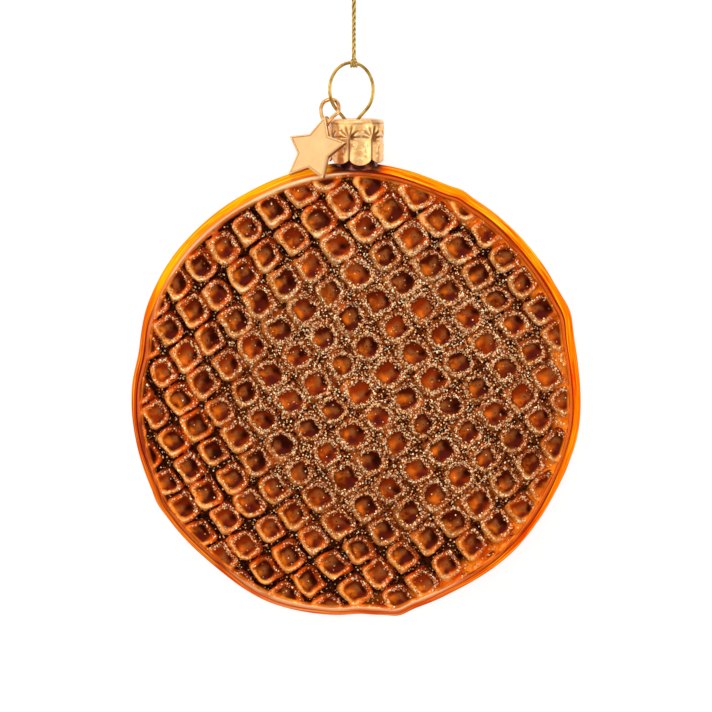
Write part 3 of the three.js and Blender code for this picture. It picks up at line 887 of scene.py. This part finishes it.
def build_star(material):
    half, edge = STAR["thick"] / 2, STAR["border"]
    top = half + STAR["rise"]
    # each loop: inset, height, roundness of the corners, and how much painted shade lies there, on the side
    # wall and in the groove inside the border
    loops = [(0.12, -half, 0.06, 0), (0.03, -half + 0.04, 0.06, 0.2), (0, -half + 0.12, 0.06, 0.45),
             (0, top - 0.2, 0.06, 0.45), (0.02, top - 0.07, 0.06, 0.1), (0.1, top, 0.06, 0),
             (edge * 0.75, top, 0.05, 0), (edge * 0.95, top - 0.04, 0.05, 0.15),
             (edge + 0.04, half, 0.05, 0.4), (edge + 0.1, half, 0.05, 0.35),
             (edge + 0.2, half, 0.05, 0), (edge + 1.2, half, 0.03, 0)]
    turn = np.linspace(0, 2 * np.pi, 41)
    eye = np.stack([np.zeros(41), STAR_EYE["radius"] * np.cos(turn), STAR_EYE["radius"] * np.sin(turn)], 1)
    eye = sweep(eye + np.array(STAR_EYE["at"]), STAR_EYE["wire"], 12, closed=True)
    plate = capped_rings([star_loop(inset, z, soft) for inset, z, soft, _ in loops])
    points, faces = join_parts([plate, eye])
    obj = make_object("star_plate", star_turn(points), faces)
    per_loop = (len(plate[0]) - 2) // len(loops)
    dark = np.repeat([loop[3] for loop in loops], per_loop)
    add_attribute(obj, "hollow_and_shade", np.concatenate([dark, np.zeros(2 + len(eye[0]))]))
    obj.data.set_sharp_from_angle(angle=math.radians(38))
    finish_piece(obj, material, "gold_metal", "star_charm")


# ---- The cord ----
def strand_lay(path, lay_radius, strand_radius):
    """Twisted strands about a path: points, faces, how far along and round, and how far out each is."""
    first, second = path_frames(path)
    length = path_lengths(path)
    parts, along, out = [], [], []
    for start in np.arange(CORD_STRANDS) * 2 * math.pi / CORD_STRANDS:
        turn = (2 * math.pi * length / CORD_PITCH + start)[:, None]
        line = path + lay_radius * (first * np.cos(turn) + second * np.sin(turn))
        points, faces = sweep(line, strand_radius, STRAND_SIDES)
        parts.append((points, faces))
        rings = len(points) // STRAND_SIDES
        row = np.repeat(np.arange(rings) * length[-1] / rings, STRAND_SIDES)
        row = np.concatenate([row, [0, length[-1]]])
        spin = np.concatenate([np.tile(np.arange(STRAND_SIDES) / STRAND_SIDES, rings), [0, 0]])
        along.append(np.stack([row * 3.2, np.minimum(spin, 1 - spin) * 4, np.zeros(len(row))], 1))
        nearest = np.clip(np.round(row / length[-1] * (len(path) - 1)).astype(int), 0, len(path) - 1)
        out.append(np.linalg.norm(points - path[nearest], axis=1) / (lay_radius + strand_radius))
    return *join_parts(parts), np.vstack(along), np.concatenate(out)


def thread_place(points):
    """Where the thread's fibres run on a loop of cord."""
    return np.stack([points[:, 1] * 4, points[:, 2] * 4, points[:, 0]], 1)


def build_hitch(material):
    """The cord's turns round the top of the wire, and a bight over them."""
    top = WIRE["centre"][1] + WIRE["half"][1] - HITCH["drop"]
    high, deep = HITCH["half"]
    turn = np.linspace(0, 2 * np.pi, 33)
    wraps = []
    for aside, lean in HITCH["turns"]:
        loop = np.stack([aside + lean * np.cos(turn), top + high * np.cos(turn), deep * np.sin(turn)], 1)
        wraps.append(sweep(loop, HITCH["thread"], STRAND_SIDES, closed=True))
    bight = smooth_path([(x, top + up, z) for x, up, z in BIGHT["points"]], 6)
    points, faces = join_parts([*wraps, sweep(bight, BIGHT["thread"], STRAND_SIDES)])
    hitch = make_object("cord_hitch", points, faces)
    add_attribute(hitch, "along", thread_place(points))
    # painted shade in bands across the turns
    add_attribute(hitch, "out", 0.82 + 0.18 * np.cos(points[:, 1] * 14 + points[:, 0] * 9))
    return finish_piece(hitch, material, "cord")


def build_end_knot(material):
    t = np.linspace(0, 2 * np.pi, 97)
    centre = np.array([CORD_ASIDE, CORD_ROUTE[-1][0] + KNOT_BEYOND + KNOT_RADIUS,
                       KNOT_RADIUS + FLOOR_GAP - PATTERN_AT[2]])
    trefoil = np.stack([np.sin(t) + 2 * np.sin(2 * t), np.cos(t) - 2 * np.cos(2 * t),
                        -1.4 * np.sin(3 * t)], 1)
    points, faces = sweep(0.18 * trefoil + centre, KNOT_THREAD, 12, closed=True)
    knot = make_object("cord_end", points, faces)
    add_attribute(knot, "along", thread_place(points))
    add_attribute(knot, "out", np.ones(len(points)))
    return finish_piece(knot, material, "cord", "cord_knot")


def build_cord(material):
    route = [(CORD_ASIDE, y, height - PATTERN_AT[2]) for y, height in CORD_ROUTE]
    path, length = resample(smooth_path(route, 12), 0.1)
    points, faces, along, out = strand_lay(path, CORD_DIAMETER * STRAND_LAY, CORD_DIAMETER * STRAND_RADIUS)
    points[:, 2] = np.maximum(points[:, 2], FLOOR_GAP - PATTERN_AT[2])
    cord = make_object("cord_strands", points, faces)
    add_attribute(cord, "along", along)
    add_attribute(cord, "out", out)
    finish_piece(cord, material, "cord", "hanging_cord")
    pieces = [build_hitch(material), build_end_knot(material)]
    in_frame = (path + PATTERN_AT) * MM
    tuple(in_frame[0])


# ---- Glitter ----
def glitter_places(side, rng, tries):
    """Where flakes stuck on one face, and which way the glass faces there."""
    turn = rng.random(tries) * 2 * np.pi
    radius = (outline(turn) - lip_inset(turn) - EDGE[-1][0]) * np.sqrt(rng.random(tries))
    off_x, off_y = radius * np.cos(turn), radius * np.sin(turn)

    def surface(dx, dy):
        x, y = off_x + dx, off_y + dy
        return face_height(DISC_CENTRE[0] + x, DISC_CENTRE[1] + y, np.arctan2(y, x), np.hypot(x, y), side)

    height, cell, zone = surface(0, 0)
    step = 0.04
    slopes = [(surface(*way)[0] - height) / step for way in ((step, 0), (0, step))]
    x, y = DISC_CENTRE[0] + off_x, DISC_CENTRE[1] + off_y
    (within, fill, tone), (cell_x, cell_y, rho) = zone.T, cell.T
    inside, width = GLITTER_RING
    ring = np.exp(-((rho - COLLAR_AT + inside) / width) ** 2)
    upper = 0.5 + 0.5 * np.clip((cell_x * 0.5 + cell_y * 0.85) / 0.3, -1, 1)
    ground = soft_step((rho - COLLAR_AT - 0.02) / 0.04)
    patch = 0.5 + 0.5 * np.sin(x * 0.31 + 1.3) * np.sin(y * 0.27 - x * 0.12 + 0.4)
    bare = (0.7 + 0.6 * tone) * (0.35 + 0.65 * upper)
    chance = 0.01 + ring * ((0.2 + 0.9 * bare) * (1 - fill) + 1.25 * fill)
    chance = chance + ground * (0.09 + 0.16 * fill) * (0.6 + 0.6 * patch)
    chance *= np.clip(within / 1.2, 0.2, 1) * (1 + 0.3 * np.clip(y / DISC_RADIUS, -0.5, 1))
    keep = rng.random(tries) < chance
    normal = unit(np.stack([-slopes[0], -slopes[1], np.ones(tries)], 1)[keep])
    flip = (1, 1, side)
    return np.stack([x, y, height], 1)[keep] * flip, normal * flip


def flakes(points, normals, rng):
    """Thin square plates lying on the glass, each a little tilted."""
    count = len(points)
    normal = unit(normals + rng.normal(0, FLAKE_TILT, (count, 3)))
    first = unit(np.cross(normal, rng.normal(0, 1, (count, 3))))
    second = np.cross(normal, first)
    size = rng.uniform(*FLAKE_SIZE, count)[:, None] / 2
    centre = points + normals * FLAKE_LIFT
    rims = [centre + size * (first * math.cos(turn) + second * math.sin(turn))
            for turn in np.radians([0, 90, 180, 270])]
    corners = np.stack([rim + normal * lift * FLAKE_THICK for lift in (-0.5, 0.5) for rim in rims], 1)
    floor = 0.5 * FLAKE_THICK - PATTERN_AT[2] + FLOOR_GAP
    corners[..., 2] = np.maximum(corners[..., 2], floor - FLAKE_THICK * (np.arange(8) < 4))
    base = np.arange(count)[:, None] * 8
    sides = [[3, 2, 1, 0], [4, 5, 6, 7]] + [[k, (k + 1) % 4, (k + 1) % 4 + 4, k + 4] for k in range(4)]
    return corners.reshape(-1, 3), np.concatenate([base + np.array(face) for face in sides])


def build_glitter():
    rng = np.random.default_rng(GLITTER_SEED)
    spots = [glitter_places(side, rng, tries) for side, tries in GLITTER_TRIES.items()]
    points, normals = (np.vstack(rows) for rows in zip(*spots))
    draw = rng.random(len(points))
    low = 0.0
    for name, color, roughness, share in GLITTER_KINDS:
        chosen = (draw >= low) & (draw < low + share)
        low += share
        obj = make_object(name, *flakes(points[chosen], normals[chosen], rng), smooth=False)
        finish_piece(obj, flake_material(name, color, roughness), "glass")


# ---- Light, floor and camera ----
def area_light(name, place, size, power):
    """A soft light aimed at the pattern's middle; place and size are in millimetres."""
    light = bpy.data.lights.new(name, "AREA")
    light.shape = "RECTANGLE"
    light.size, light.size_y = (s * MM for s in size)
    light.energy = power
    obj = add_object(name, light)
    obj.location = Vector((np.array(place) + PATTERN_AT) * MM)
    obj.rotation_euler = Vector(place).to_track_quat("Z", "Y").to_euler()


def build_world():
    """A large soft light over the camera, a dimmer ring round it, and a brighter horizon."""
    world = bpy.data.worlds.new("studio")
    bpy.context.scene.world = world
    world.use_nodes = True
    nodes, links = world.node_tree.nodes, world.node_tree.links
    split = nodes.new("ShaderNodeSeparateXYZ")
    links.new(nodes.new("ShaderNodeTexCoord").outputs["Generated"], split.inputs[0])
    sky = nodes.new("ShaderNodeValToRGB")
    stops = sky.color_ramp.elements
    stops.new(0.5)
    for stop, (up, light) in zip(stops, ((0.02, 0.6), (0.5, 0.3), (0.85, 0.85))):
        stop.position, stop.color = up, (light, light, light, 1)
    links.new(split.outputs[2], sky.inputs[0])
    links.new(sky.outputs[0], nodes["Background"].inputs["Color"])
    nodes["Background"].inputs["Strength"].default_value = 1.0


def build_stage():
    build_world()
    area_light("softbox_left", (-720, 260, 560), (1100, 1100), 6.0)
    area_light("softbox_right", (820, 40, 480), (800, 900), 4.2)
    area_light("softbox_top", (0, 950, 420), (1000, 300), 3.4)
    low, far = -DISC_HALF - FLOOR_GAP, 3000
    corners = [(-far, -far, low), (far, -far, low), (far, far, low), (-far, far, low)]
    floor = make_object("floor", corners, [[0, 1, 2, 3]], smooth=False)
    paint = Paint("paper_floor")
    paper = paint.ramp(paint.noise(40, 2), (0.3, (0.29, 0.29, 0.29)), (0.7, (0.31, 0.31, 0.31)))
    paint.set(base_color=paper, roughness=0.8, specular_ior_level=0.1, emission_color=(1.0, 1.0, 1.0),
              emission_strength=0.78)
    floor.data.materials.append(paint.material)


def build_camera():
    data = bpy.data.cameras.new("view")
    data.sensor_width = SENSOR
    data.lens = SENSOR * VIEW_DISTANCE / VIEW_WIDTH
    data.clip_start, data.clip_end = 0.05, 20
    camera = add_object("view", data)
    away = np.array([0, math.sin(VIEW_LEAN), math.cos(VIEW_LEAN)]) * VIEW_DISTANCE
    camera.location = Vector((np.array(VIEW_CENTRE) + PATTERN_AT + away) * MM)
    camera.rotation_euler = (-VIEW_LEAN, 0, 0)
    bpy.context.scene.camera = camera


bpy.context.scene.view_settings.view_transform = "Standard"
build_camera()
build_cord(cord_material())
build_stage()
build_glass(lacquer_material())
build_neck(neck_material())
build_glitter()
# the cap's third colour is its painted shade
build_cap(gold_material("cap_gold", (228, 162, 88), (255, 210, 146), 0.3, 700, 0.3, (108, 58, 4), 0.72))
build_hanger(gold_material("hanger_gold", (126, 84, 8), (220, 182, 92), 0.16, 500, 0.2))
build_ring(gold_material("ring_gold", (190, 126, 60), (242, 196, 128), 0.2, 500, 0.2))
# the star's third colour is its painted shade
build_star(gold_material("star_gold", (214, 166, 112), (228, 180, 126), 0.32, 350, 0.25, (128, 80, 40)))
